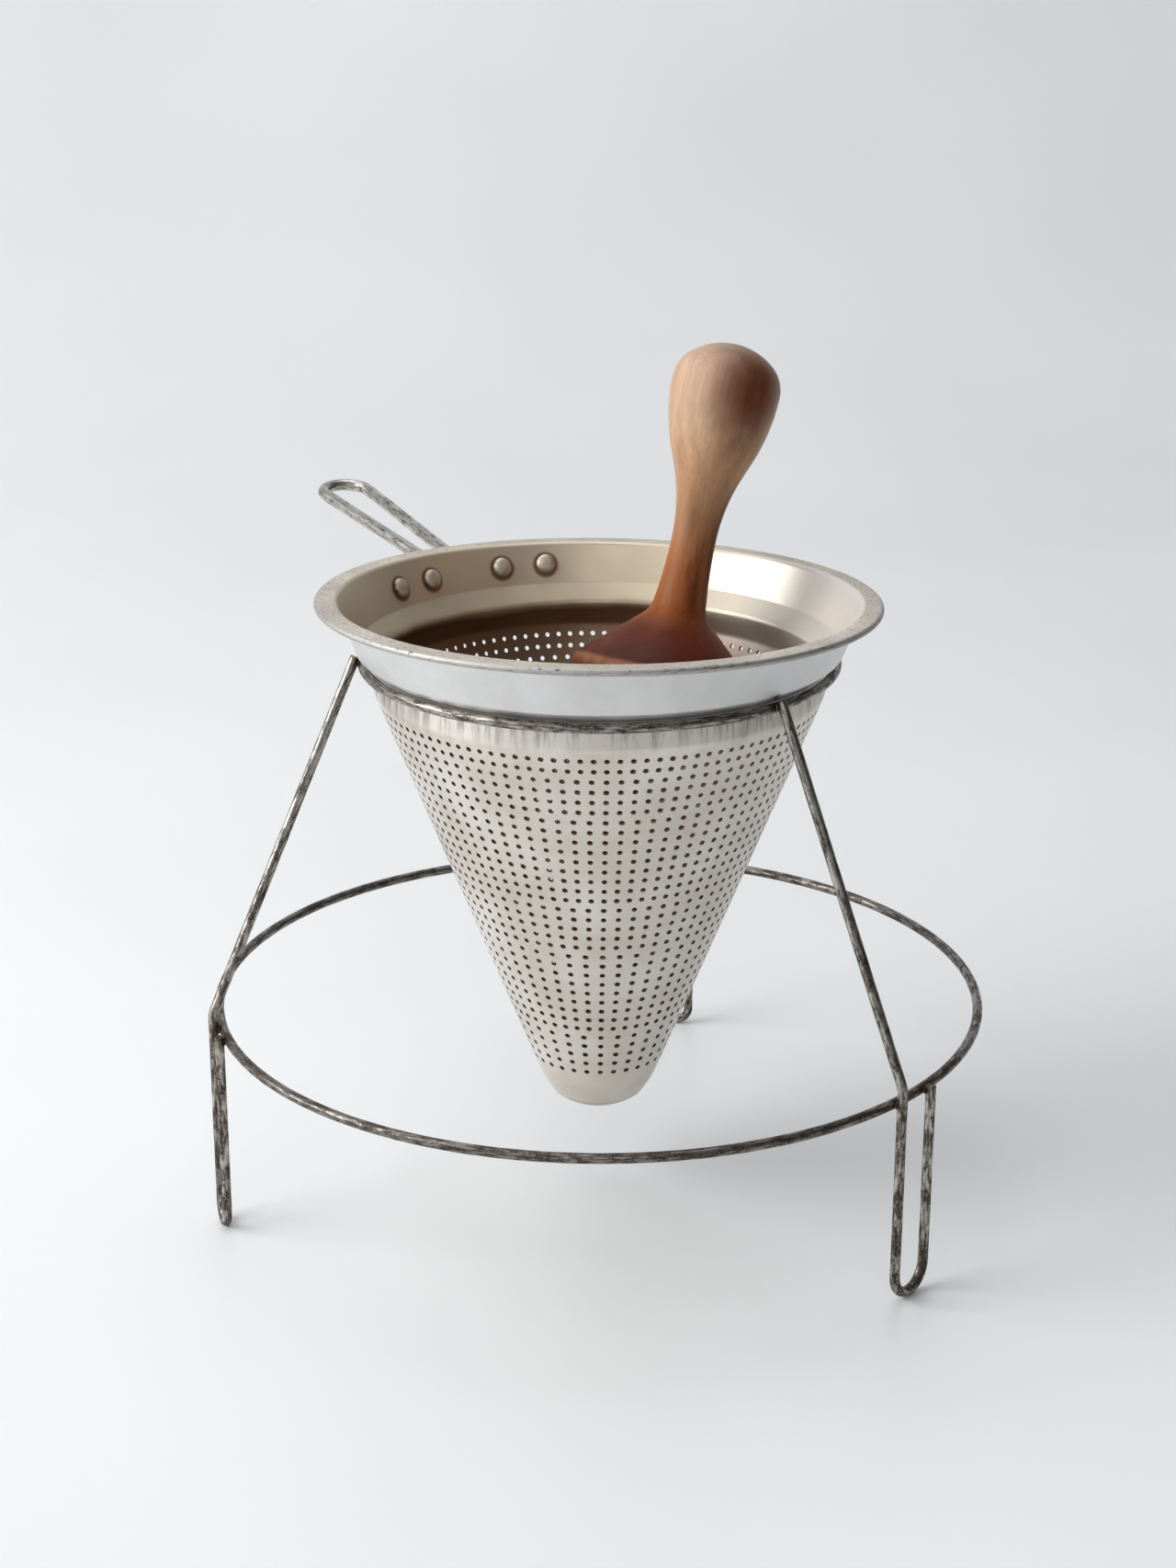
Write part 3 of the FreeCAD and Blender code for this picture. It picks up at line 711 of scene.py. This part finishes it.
standSizes = {
    "wireRadius": 1.7,
    "topRing": (80.0, 192.5),
    "baseRing": (132.55, 71.2),
    "legTop": (82.25, 195.3),
    "kneeHeight": 77.0,
    "kneeRadius": 8.0,
    "footCut": 72.9,
    "weldSink": 0.15,
    "nuggetSink": 0.05,
    "weldHalf": (0.75, 1.75, 1.65),  # half sizes of a nugget: between the wires, along the ring, across
    "legs": {  # azimuth of the foot, turn of the top end, half width of the foot
        "leg_left": (198.0, -11.0, 5.3),
        "leg_right": (319.1, -4.6, 8.0),
        "leg_back": (76.6, -2.6, 5.3),
    },
}


# Hot-tinned steel wire, worn: silver grey, scored with fine dark streaks along its length.
def wornTinnedSteel(name, shade, bright, darkCut, footDarker, specks):
    material, add, coords = newMaterial(name)
    height = add("SeparateXYZ", {}, {"Vector": coords}).outputs["Z"]
    place = add("Attribute", {"attribute_name": "wirePlace"}).outputs["Vector"]
    weld = add("Attribute", {"attribute_name": "weld"}).outputs["Fac"]
    streakPlace = add("Mapping", {"Scale": (1, 1, 0.17)}, {"Vector": place})
    streak = add("TexNoise", {"Scale": grain(0.9), "Detail": 5, "Roughness": 0.65}, {"Vector": streakPlace})
    patchPlace = add("Mapping", {"Scale": (1, 1, 0.55)}, {"Vector": place})
    patch = add("TexNoise", {"Scale": grain(3.6), "Detail": 5, "Roughness": 0.66}, {"Vector": patchPlace})
    fleck = add("TexNoise", {"Scale": grain(0.8), "Detail": 4, "Roughness": 0.7}, {"Vector": coords})
    streakPart = add("Math", {"operation": "MULTIPLY", 1: 0.40}, {0: streak})
    patchPart = add("Math", {"operation": "MULTIPLY_ADD", 1: 0.38}, {0: patch, 2: streakPart})
    mixed = add("Math", {"operation": "MULTIPLY_ADD", 1: 0.22}, {0: fleck, 2: patchPart})
    lower = add("MapRange", {"range": (0.19, 0.0, 0, footDarker)}, {"Value": height})
    worn = add("Math", {"operation": "SUBTRACT"}, {0: mixed, 1: lower})
    tarnish = add("MapRange",
                  {"range": (darkCut + 0.060, darkCut - 0.060), "interpolation_type": "SMOOTHSTEP"},
                  {"Value": worn})
    darkTint = add("ValToRGB", {"stops": [
        (0.36, "#302B27"), (0.55, "#544C45"), (0.70, "#625141")]}, {"Fac": fleck})
    brightTint = add("ValToRGB", {"stops": [(0.34, shade), (0.62, bright)]}, {"Fac": streak})
    tinned = add("MixRGB", {}, {"Fac": tarnish, "Color1": brightTint, "Color2": darkTint})
    speckCut = add("MapRange", {"range": (0.60, 0.66, 0, specks)}, {"Value": fleck})
    specked = add("MixRGB", {"Color2": "#4E3727"}, {"Fac": speckCut, "Color1": tinned})
    weldNoise = add("Math", {"operation": "MULTIPLY"}, {0: weld, 1: fleck})
    weldCut = add("MapRange", {"range": (0.25, 0.5)}, {"Value": weldNoise})
    color = add("MixRGB", {"Color2": "#4C3B2E"}, {"Fac": weldCut, "Color1": specked})
    rough = add("MapRange", {"range": (0, 1, 0.28, 0.55)}, {"Value": tarnish})
    metal = add("MapRange", {"range": (0, 1, 1.0, 0.85)}, {"Value": tarnish})
    bump = add("Bump", {"Strength": 0.28, "Distance": 0.0002}, {"Height": mixed})
    shader = add("BsdfPrincipled", {},
                 {"Base Color": color, "Metallic": metal, "Roughness": rough, "Normal": bump})
    add("OutputMaterial", {}, {"Surface": shader})
    return material


# A closed ring of wire. The streaks' coordinate starts at the seam, which a weld covers.
def buildRing(reach, height, steps, welds, seam):
    bm = bmesh.new()
    weldLayer = bm.verts.layers.float.new("weld")
    placeLayer = bm.verts.layers.float_vector.new("wirePlace")
    made = bmesh.ops.create_circle(bm, segments=16, radius=mm(standSizes["wireRadius"]))["verts"]
    bmesh.ops.rotate(bm, verts=made, cent=(0, 0, 0), matrix=Matrix.Rotation(math.pi / 2, 3, "X"))
    bmesh.ops.translate(bm, verts=made, vec=(mm(reach), 0, mm(height)))
    bmesh.ops.rotate(bm, verts=made, cent=(0, 0, 0), matrix=Matrix.Rotation(math.radians(seam), 3, "Z"))
    bmesh.ops.spin(bm, geom=bm.verts[:] + bm.edges[:], cent=(0, 0, 0), axis=(0, 0, 1), angle=math.tau,
                   steps=steps, use_merge=True)
    closeShape(bm)
    for vert in bm.verts:
        outward = outwardFrom(vert.co)
        centre = outward * mm(reach) + up * mm(height)
        out = vert.co - centre
        vert.co = centre + out * (0.985 - 0.012 * abs(noise.noise(centre * 80)))
        turned = (math.atan2(outward.y, outward.x) - math.radians(seam)) % math.tau
        vert[placeLayer] = (out.dot(outward), out.z, turned * mm(reach))
        vert[weldLayer] = max(1 - smoothstep(0.002, 0.007, (vert.co - place).length) for place in welds)
    return bm


def legPath(footAzimuth, topTurn, half):
    gap = 2 * standSizes["wireRadius"] - standSizes["weldSink"]
    lowest = standSizes["wireRadius"]
    footReach = math.sqrt((standSizes["baseRing"][0] + gap) ** 2 - half ** 2)
    topReach, topHeight = standSizes["legTop"]
    top = turnAbout("Z", topTurn) @ Vector((topReach, 0, topHeight))
    corners = [
        (top, 0),
        (Vector((footReach, -half, standSizes["kneeHeight"])), standSizes["kneeRadius"]),
        (Vector((footReach, -half, lowest)), half - 0.001),
        (Vector((footReach, half, lowest)), half - 0.001),
        (Vector((footReach, half, standSizes["footCut"])), 0),
    ]
    turn = turnAbout("Z", footAzimuth)
    points = [turn @ point * 0.001 for point in denser(bentLine(corners, 10.0), 4.0)]
    return points, turn, footReach, top


def sweepRound(bm, points, radius, sides, wander):
    stations = []
    side = None
    for index, point in enumerate(points):
        along = (points[min(index + 1, len(points) - 1)] - points[max(index - 1, 0)]).normalized()
        side = along.orthogonal() if side is None else side - along * along.dot(side)
        side.normalize()
        stations.append((point, side.copy(), radius, radius, 0))
    sweepWire(bm, stations, sides, wander)


def buildLeg(footAzimuth, topTurn, half, seed):
    bm = bmesh.new()
    weldLayer = bm.verts.layers.float.new("weld")
    placeLayer = bm.verts.layers.float_vector.new("wirePlace")
    points, turn, footReach, top = legPath(footAzimuth, topTurn, half)
    sweepRound(bm, points, mm(standSizes["wireRadius"]), 16, 0.02)
    chamferEnds(bm, 0.00035)
    closeShape(bm)
    welds = []
    (ringReach, ringHeight), (baseReach, baseHeight) = standSizes["topRing"], standSizes["baseRing"]
    azimuth = math.radians(topTurn)
    outward = Vector((math.cos(azimuth), math.sin(azimuth), 0))
    lean = math.atan2(footReach - top.xy.length, top.z - standSizes["kneeHeight"])
    between = outward * math.cos(lean) + up * math.sin(lean)
    sink = standSizes["wireRadius"] - standSizes["nuggetSink"]
    centre = outward * ringReach + up * ringHeight + between * sink
    welds.append((centre, between, up.cross(outward)))
    for side in (-1, 1):
        foot = Vector((footReach, side * half, 0)).normalized()
        centre = foot * (baseReach + sink) + up * baseHeight
        welds.append((centre, foot, up.cross(foot)))
    places = []
    for number, (centre, between, alongRing) in enumerate(welds):
        centre = turn @ centre * 0.001
        places.append(centre)
        made = weldNugget(bm, centre, turn.to_3x3() @ between, turn.to_3x3() @ alongRing, seed + number)
        for vert in made:
            vert[placeLayer] = vert.co
    for vert in bm.verts:
        vert[weldLayer] = max(1 - smoothstep(0.002, 0.006, (vert.co - place).length) for place in places)
    return bm, places


legMetal = wornTinnedSteel("wornTinnedSteelLegs", "#7C7771", "#BCB7AF", 0.468, 0.060, 0.4)
topRingMetal = wornTinnedSteel("wornTinnedSteelTopRing", "#6E6963", "#ADA79F", 0.480, 0.0, 0.9)
baseRingMetal = wornTinnedSteel("wornTinnedSteelBaseRing", "#5C5751", "#96908A", 0.500, 0.0, 0.6)
weldsTop, weldsBase, legMeshes = [], [], {}
for seed, (label, leg) in enumerate(standSizes["legs"].items()):
    legMeshes[label], places = buildLeg(*leg, seed * 7)
    weldsTop.append(places[0])
    weldsBase += places[1:]
for label, mesh in legMeshes.items():
    finishPiece(mesh, "wire_" + label, [legMetal], "stand", [label], 50)
backFoot, backTurn = standSizes["legs"]["leg_back"][:2]
topRing = buildRing(*standSizes["topRing"], 180, weldsTop, backFoot + backTurn)
finishPiece(topRing, "wire_top_ring", [topRingMetal], "stand", ["top_ring"])
baseRing = buildRing(*standSizes["baseRing"], 240, weldsBase, backFoot)
finishPiece(baseRing, "wire_base_ring", [baseRingMetal], "stand", ["base_ring"])
print("stand done")


handleSizes = {
    "azimuth": 125.35,
    "swing": -3.5,
    "rise": 7.9,
    "wireRadius": 2.25,
    "root": (87.0, 203.4),
    "loopReach": 187.2,
    "loopHalf": 9.0,
    "neckHalf": 4.9,
    "rootBend": 6.5,
    "strapAngles": (26.5, 9.5),  # from the handle's middle
    "strapCentre": (85.97, 203.59),
    "strapHalf": (3.7, 1.1),
}


def handleStations():
    rootReach, rootHeight = handleSizes["root"]
    bend, neck, half = handleSizes["rootBend"], handleSizes["neckHalf"], handleSizes["loopHalf"]
    length = handleSizes["loopReach"] - rootReach
    turnX = length - half
    far, aside = turnX - bend, neck + bend
    spread = math.asin((half + bend) / math.hypot(far, aside)) - math.atan2(aside, far)
    swing = turnAbout("Z", handleSizes["swing"])
    rise = turnAbout("Y", -handleSizes["rise"])
    place = Matrix.Translation((rootReach, 0, rootHeight)) @ swing @ rise
    normalWay = (place.to_3x3() @ up).normalized()
    slope = math.radians(rivetSizes["slope"])
    wire = handleSizes["wireRadius"]

    # one side of the loop in its own plane: root bend, straight run, half of the turn
    oneSide = []
    for i in range(9):
        angle = math.pi - (math.pi / 2 - spread) * i / 8
        oneSide.append((bend + bend * math.cos(angle), -(neck + bend) + bend * math.sin(angle)))
    (fromX, fromY), (toX, toY) = oneSide[-1], (turnX - half * math.sin(spread), -half * math.cos(spread))
    for i in range(1, 25):
        t = i / 24
        oneSide.append((fromX + (toX - fromX) * t, fromY + (toY - fromY) * t))
    startAngle = -math.pi / 2 - spread
    for i in range(1, 17):
        angle = startAngle * (1 - i / 16)
        oneSide.append((turnX + half * math.cos(angle), half * math.sin(angle)))
    loopPoints = oneSide + [(x, -y) for x, y in oneSide[-2::-1]]
    first, last = handleSizes["strapAngles"]
    strapWide, strapThick = handleSizes["strapHalf"]
    strapRun = [first + (last - first) * i / 12 for i in range(13)]

    def strapStation(angle, side):
        a = math.radians(angle * side)
        reach, height = handleSizes["strapCentre"]
        wide = Vector((math.sin(slope) * math.cos(a), math.sin(slope) * math.sin(a), math.cos(slope)))
        return [Vector((reach * math.cos(a), reach * math.sin(a), height)), wide, strapWide, strapThick, 1.0]

    stations = [strapStation(angle, -1) for angle in strapRun]
    count = len(loopPoints)
    for index, (x, y) in enumerate(loopPoints):
        fromEnd = min(index, count - 1 - index)
        flat = 1 - smoothstep(0, 10, fromEnd + 1.5)
        stations.append([place @ Vector((x, y, 0)), normalWay, wire + (strapWide - wire) * flat,
                         wire + (strapThick - wire) * flat, flat])
    stations += [strapStation(angle, 1) for angle in reversed(strapRun)]
    turn = turnAbout("Z", handleSizes["azimuth"])
    return [(turn @ point * 0.001, turn.to_3x3() @ wide, mm(halfWide), mm(halfThick), square)
            for point, wide, halfWide, halfThick, square in stations]


def buildHandle():
    bm = bmesh.new()
    weldLayer = bm.verts.layers.float.new("weld")
    sweepWire(bm, handleStations(), 20, 0.012)
    chamferEnds(bm, 0.0003)
    closeShape(bm)
    places = rivetPlaces()
    for vert in bm.verts:
        near = max(1 - smoothstep(0.004, 0.006, (vert.co - place).length) for place in places)
        vert[weldLayer] = 0.7 * near
    return bm


handleMetal = wornTinnedSteel("brightTinnedSteel", "#8F8A83", "#D0CCC5", 0.445, 0.0, 0.5)
finishPiece(buildHandle(), "bent_wire_handle", [handleMetal], "sieve_with_handle",
            ["wire_handle"], 50)


pestleSizes = {
    "azimuth": 52.0,
    "lean": 19.2,
    "shoulder": (37.75, 179.0),  # reach and height of the shoulder's middle
    "profile": [  # radius, height above the shoulder, arc to the next point
        (0.0, 116.0, -22.5), (14.5, 110.7, -13.0), (19.13, 100.8, -64.0), (14.54, 77.0, 0),
        (12.34, 71.5, 64.2), (7.75, 47.7, 181.0), (9.3, 24.0, 9.0), (12.17, 18.5, 0),
        (32.2, 0.3, -2.4), (32.95, -1.9, 0), (10.3, -143.0, -10.43), (0.0, -151.8, 0)],
    "stainAndShadeCentre": (0.0525, 0.0390, 0.2745),  # on the knob, in metres
    "neckStainAndShadeWay": (0.93, -0.36, 0),  # the neck's side with the stain and painted shade
}
pestleFrame = (turnAbout("Z", pestleSizes["azimuth"])
               @ Matrix.Translation((mm(pestleSizes["shoulder"][0]), 0, mm(pestleSizes["shoulder"][1])))
               @ turnAbout("Y", pestleSizes["lean"]))


def buildPestle():
    bm = bmesh.new()
    corners = pestleSizes["profile"]
    points = [Vector(corners[0][:2])]
    for (x, y, radius), (nextX, nextY, _) in zip(corners, corners[1:]):
        length = math.hypot(nextX - x, nextY - y)
        if radius:
            if x * nextX == 0:  # an arc that meets the axis is centred on it
                radius = math.copysign(length ** 2 / (2 * abs(nextY - y)), radius)
            points += arcRun((x, y), (nextX, nextY), radius, max(4, int(length / 1.6)))
        else:
            parts = max(1, int(length / 4))
            points += [Vector((x, y)).lerp(Vector((nextX, nextY)), (i + 1) / parts) for i in range(parts)]
    points[0].x = points[-1].x = 0
    spinProfile(bm, [(mm(p.x), mm(p.y)) for p in points], 96)
    closeShape(bm)
    for vert in bm.verts:  # hand-worn: shallow hollows on the knob, a slightly uneven shoulder
        local = vert.co * 1000
        worn = noise.noise(local * 0.045) * 0.28 if local.z > 20 else noise.noise(local * 0.08) * 0.08
        outward = Vector((vert.co.x, vert.co.y, 0))
        if outward.length > 1e-5:
            vert.co += outward.normalized() * mm(worn) * min(outward.length * 100, 1)
    bmesh.ops.transform(bm, matrix=pestleFrame, verts=bm.verts[:])
    return bm


# Turned maple, oiled by use and stained by fruit: pale peach knob, red-brown flare and head, fine long grain;
# painted shade on the side away from the window and a painted highlight on the shoulder's edge.
def turnedMaple():
    material, add, coords = newMaterial("turnedMaple")
    local = add("Mapping", {"vector_type": "TEXTURE", "Location": pestleFrame.translation,
                            "Rotation": pestleFrame.to_euler()}, {"Vector": coords})
    split = add("SeparateXYZ", {}, {"Vector": local})
    height = split.outputs["Z"]
    fibrePlace = add("Mapping", {"Scale": (1, 1, 0.05)}, {"Vector": local})
    fibre = add("TexNoise", {"Scale": grain(1.1), "Detail": 5, "Roughness": 0.65}, {"Vector": fibrePlace})
    broadPlace = add("Mapping", {"Scale": (1, 1, 0.16)}, {"Vector": local})
    broad = add("TexNoise", {"Scale": grain(9), "Detail": 4, "Roughness": 0.6, "Distortion": 0.4},
                {"Vector": broadPlace})
    cloud = add("TexNoise", {"Scale": grain(26), "Detail": 3}, {"Vector": local})

    # growth rings about 3 mm apart, centred beside the turning axis
    ringPlace = add("Mapping", {"Location": (0.021, 0.013, 0), "Scale": (1, 1, 0.04)}, {"Vector": local})
    rings = add("TexWave", {"wave_type": "RINGS", "rings_direction": "Z", "Scale": grain(3.2) / 6.3,
                            "Distortion": 2.2, "Detail": 3, "Detail Scale": 1.4},
                {"Vector": ringPlace}).outputs["Fac"]

    # colour by height: deep red-brown head and flare, warm neck, peach knob, greyer top
    wander = add("Math", {"operation": "MULTIPLY_ADD", 1: 0.022, 2: -0.011}, {0: cloud})
    wandered = add("Math", {"operation": "ADD"}, {0: height, 1: wander})
    share = add("MapRange", {"range": (-0.02, 0.12)}, {"Value": wandered})
    byHeight = add("ValToRGB", {"stops": [
        (0.0, "#3C1003"), (0.15, "#421304"), (0.22, "#5C220A"), (0.30, "#8E4A20"), (0.40, "#AA683A"),
        (0.56, "#C1906A"), (0.74, "#CFAA89"), (0.88, "#C8A68D"), (1.0, "#9F8A74")]}, {"Fac": share})
    broadShade = add("MapRange", {"range": (0.28, 0.72, 0.84, 1.14)}, {"Value": broad})
    mixed = add("MixRGB", {"blend_type": "MULTIPLY", "Fac": 1.0}, {"Color1": byHeight, "Color2": broadShade})

    # brown patch on the knob and a streak down the neck, both on the side away from the window: part stain,
    # part painted shade
    patchPlace = add("Mapping", {"Scale": (1, 1, 0.7)}, {"Vector": local})
    toPestle = pestleFrame.inverted()
    knobStainAndShadeCentre = toPestle @ Vector(pestleSizes["stainAndShadeCentre"])
    knobStainAndShadeCentre.z *= 0.7
    patch = add("VectorMath", {"operation": "DISTANCE", 1: knobStainAndShadeCentre}, {0: patchPlace}).outputs["Value"]
    patchNoise = add("Math", {"operation": "MULTIPLY_ADD", 1: 0.016, 2: -0.008}, {0: cloud})
    patchSum = add("Math", {"operation": "ADD"}, {0: patch, 1: patchNoise})
    # painted shade: the knob's stain is darkened on the side away from the window
    knobStainAndShadeMask = add("MapRange", {"range": (0.0215, 0.0030), "interpolation_type": "SMOOTHSTEP"},
                    {"Value": patchSum})
    knobStainAndShadeShare = add("Math", {"operation": "MULTIPLY", 1: 0.95}, {0: knobStainAndShadeMask})
    knobStainedAndShaded = add("MixRGB", {"Color2": "#66310F"}, {"Fac": knobStainAndShadeShare, "Color1": mixed})
    streakUp = add("MapRange", {"range": (0.012, 0.026)}, {"Value": height})
    streakDown = add("MapRange", {"range": (0.072, 0.054)}, {"Value": height})
    streakBand = add("Math", {"operation": "MULTIPLY"}, {0: streakUp, 1: streakDown})
    neckStainAndShadeSideWay = (toPestle.to_3x3() @ Vector(pestleSizes["neckStainAndShadeWay"])).normalized()
    neckStainAndShadeWay = add("VectorMath", {"operation": "DOT_PRODUCT", 1: neckStainAndShadeSideWay}, {0: local}).outputs["Value"]
    # painted shade: the neck's streak darkens the side away from the window
    neckStainAndShadeSide = add("MapRange", {"range": (0.0005, 0.0060)}, {"Value": neckStainAndShadeWay})
    neckStainAndShadeMask = add("Math", {"operation": "MULTIPLY"}, {0: streakBand, 1: neckStainAndShadeSide})
    streakGrain = add("MapRange", {"range": (0.40, 0.60, 0.15, 0.85)}, {"Value": broad})
    neckStainAndShadeShare = add("Math", {"operation": "MULTIPLY"}, {0: neckStainAndShadeMask, 1: streakGrain})
    neckStainedAndShaded = add("MixRGB", {"Color2": "#4A2610"}, {"Fac": neckStainAndShadeShare, "Color1": knobStainedAndShaded})

    fibreDark = add("MapRange", {"range": (0.36, 0.62, 0.88, 1.03)}, {"Value": fibre})
    ringDark = add("MapRange", {"range": (0, 1, 0.93, 1.02)}, {"Value": rings})
    shade = add("Math", {"operation": "MULTIPLY"}, {0: fibreDark, 1: ringDark})
    color = add("MixRGB", {"blend_type": "MULTIPLY", "Fac": 1.0}, {"Color1": neckStainedAndShaded, "Color2": shade})

    # pale line on the shoulder's edge: wear and a painted highlight on the rounded edge
    edgeUp = add("MapRange", {"range": (-0.0050, -0.0015)}, {"Value": height})
    edgeDown = add("MapRange", {"range": (0.0016, 0.0002)}, {"Value": height})
    edgeBand = add("Math", {"operation": "MULTIPLY"}, {0: edgeUp, 1: edgeDown})
    edgeWearAndHighlight = add("Math", {"operation": "MULTIPLY"}, {0: edgeBand, 1: broad})
    # painted highlight: the pale edge colour stands in for light catching the rounded shoulder, over real
    # wear
    worn = add("MixRGB", {"Color2": "#A8714C"}, {"Fac": edgeWearAndHighlight, "Color1": color})

    rough = add("MapRange", {"range": (0.3, 0.7, 0.36, 0.54)}, {"Value": broad})
    bumpFibre = add("Bump", {"Strength": 0.18, "Distance": 0.0002}, {"Height": fibre})
    bump = add("Bump", {"Strength": 0.12, "Distance": 0.0006}, {"Height": broad, "Normal": bumpFibre})
    shader = add("BsdfPrincipled", {"IOR": 1.5, "Specular IOR Level": 0.16},
                 {"Base Color": worn, "Roughness": rough, "Normal": bump})
    add("OutputMaterial", {}, {"Surface": shader})
    return material


finishPiece(buildPestle(), "turned_pestle", [turnedMaple()], "pestle", ["pestle"], 60)

print("pieces done")
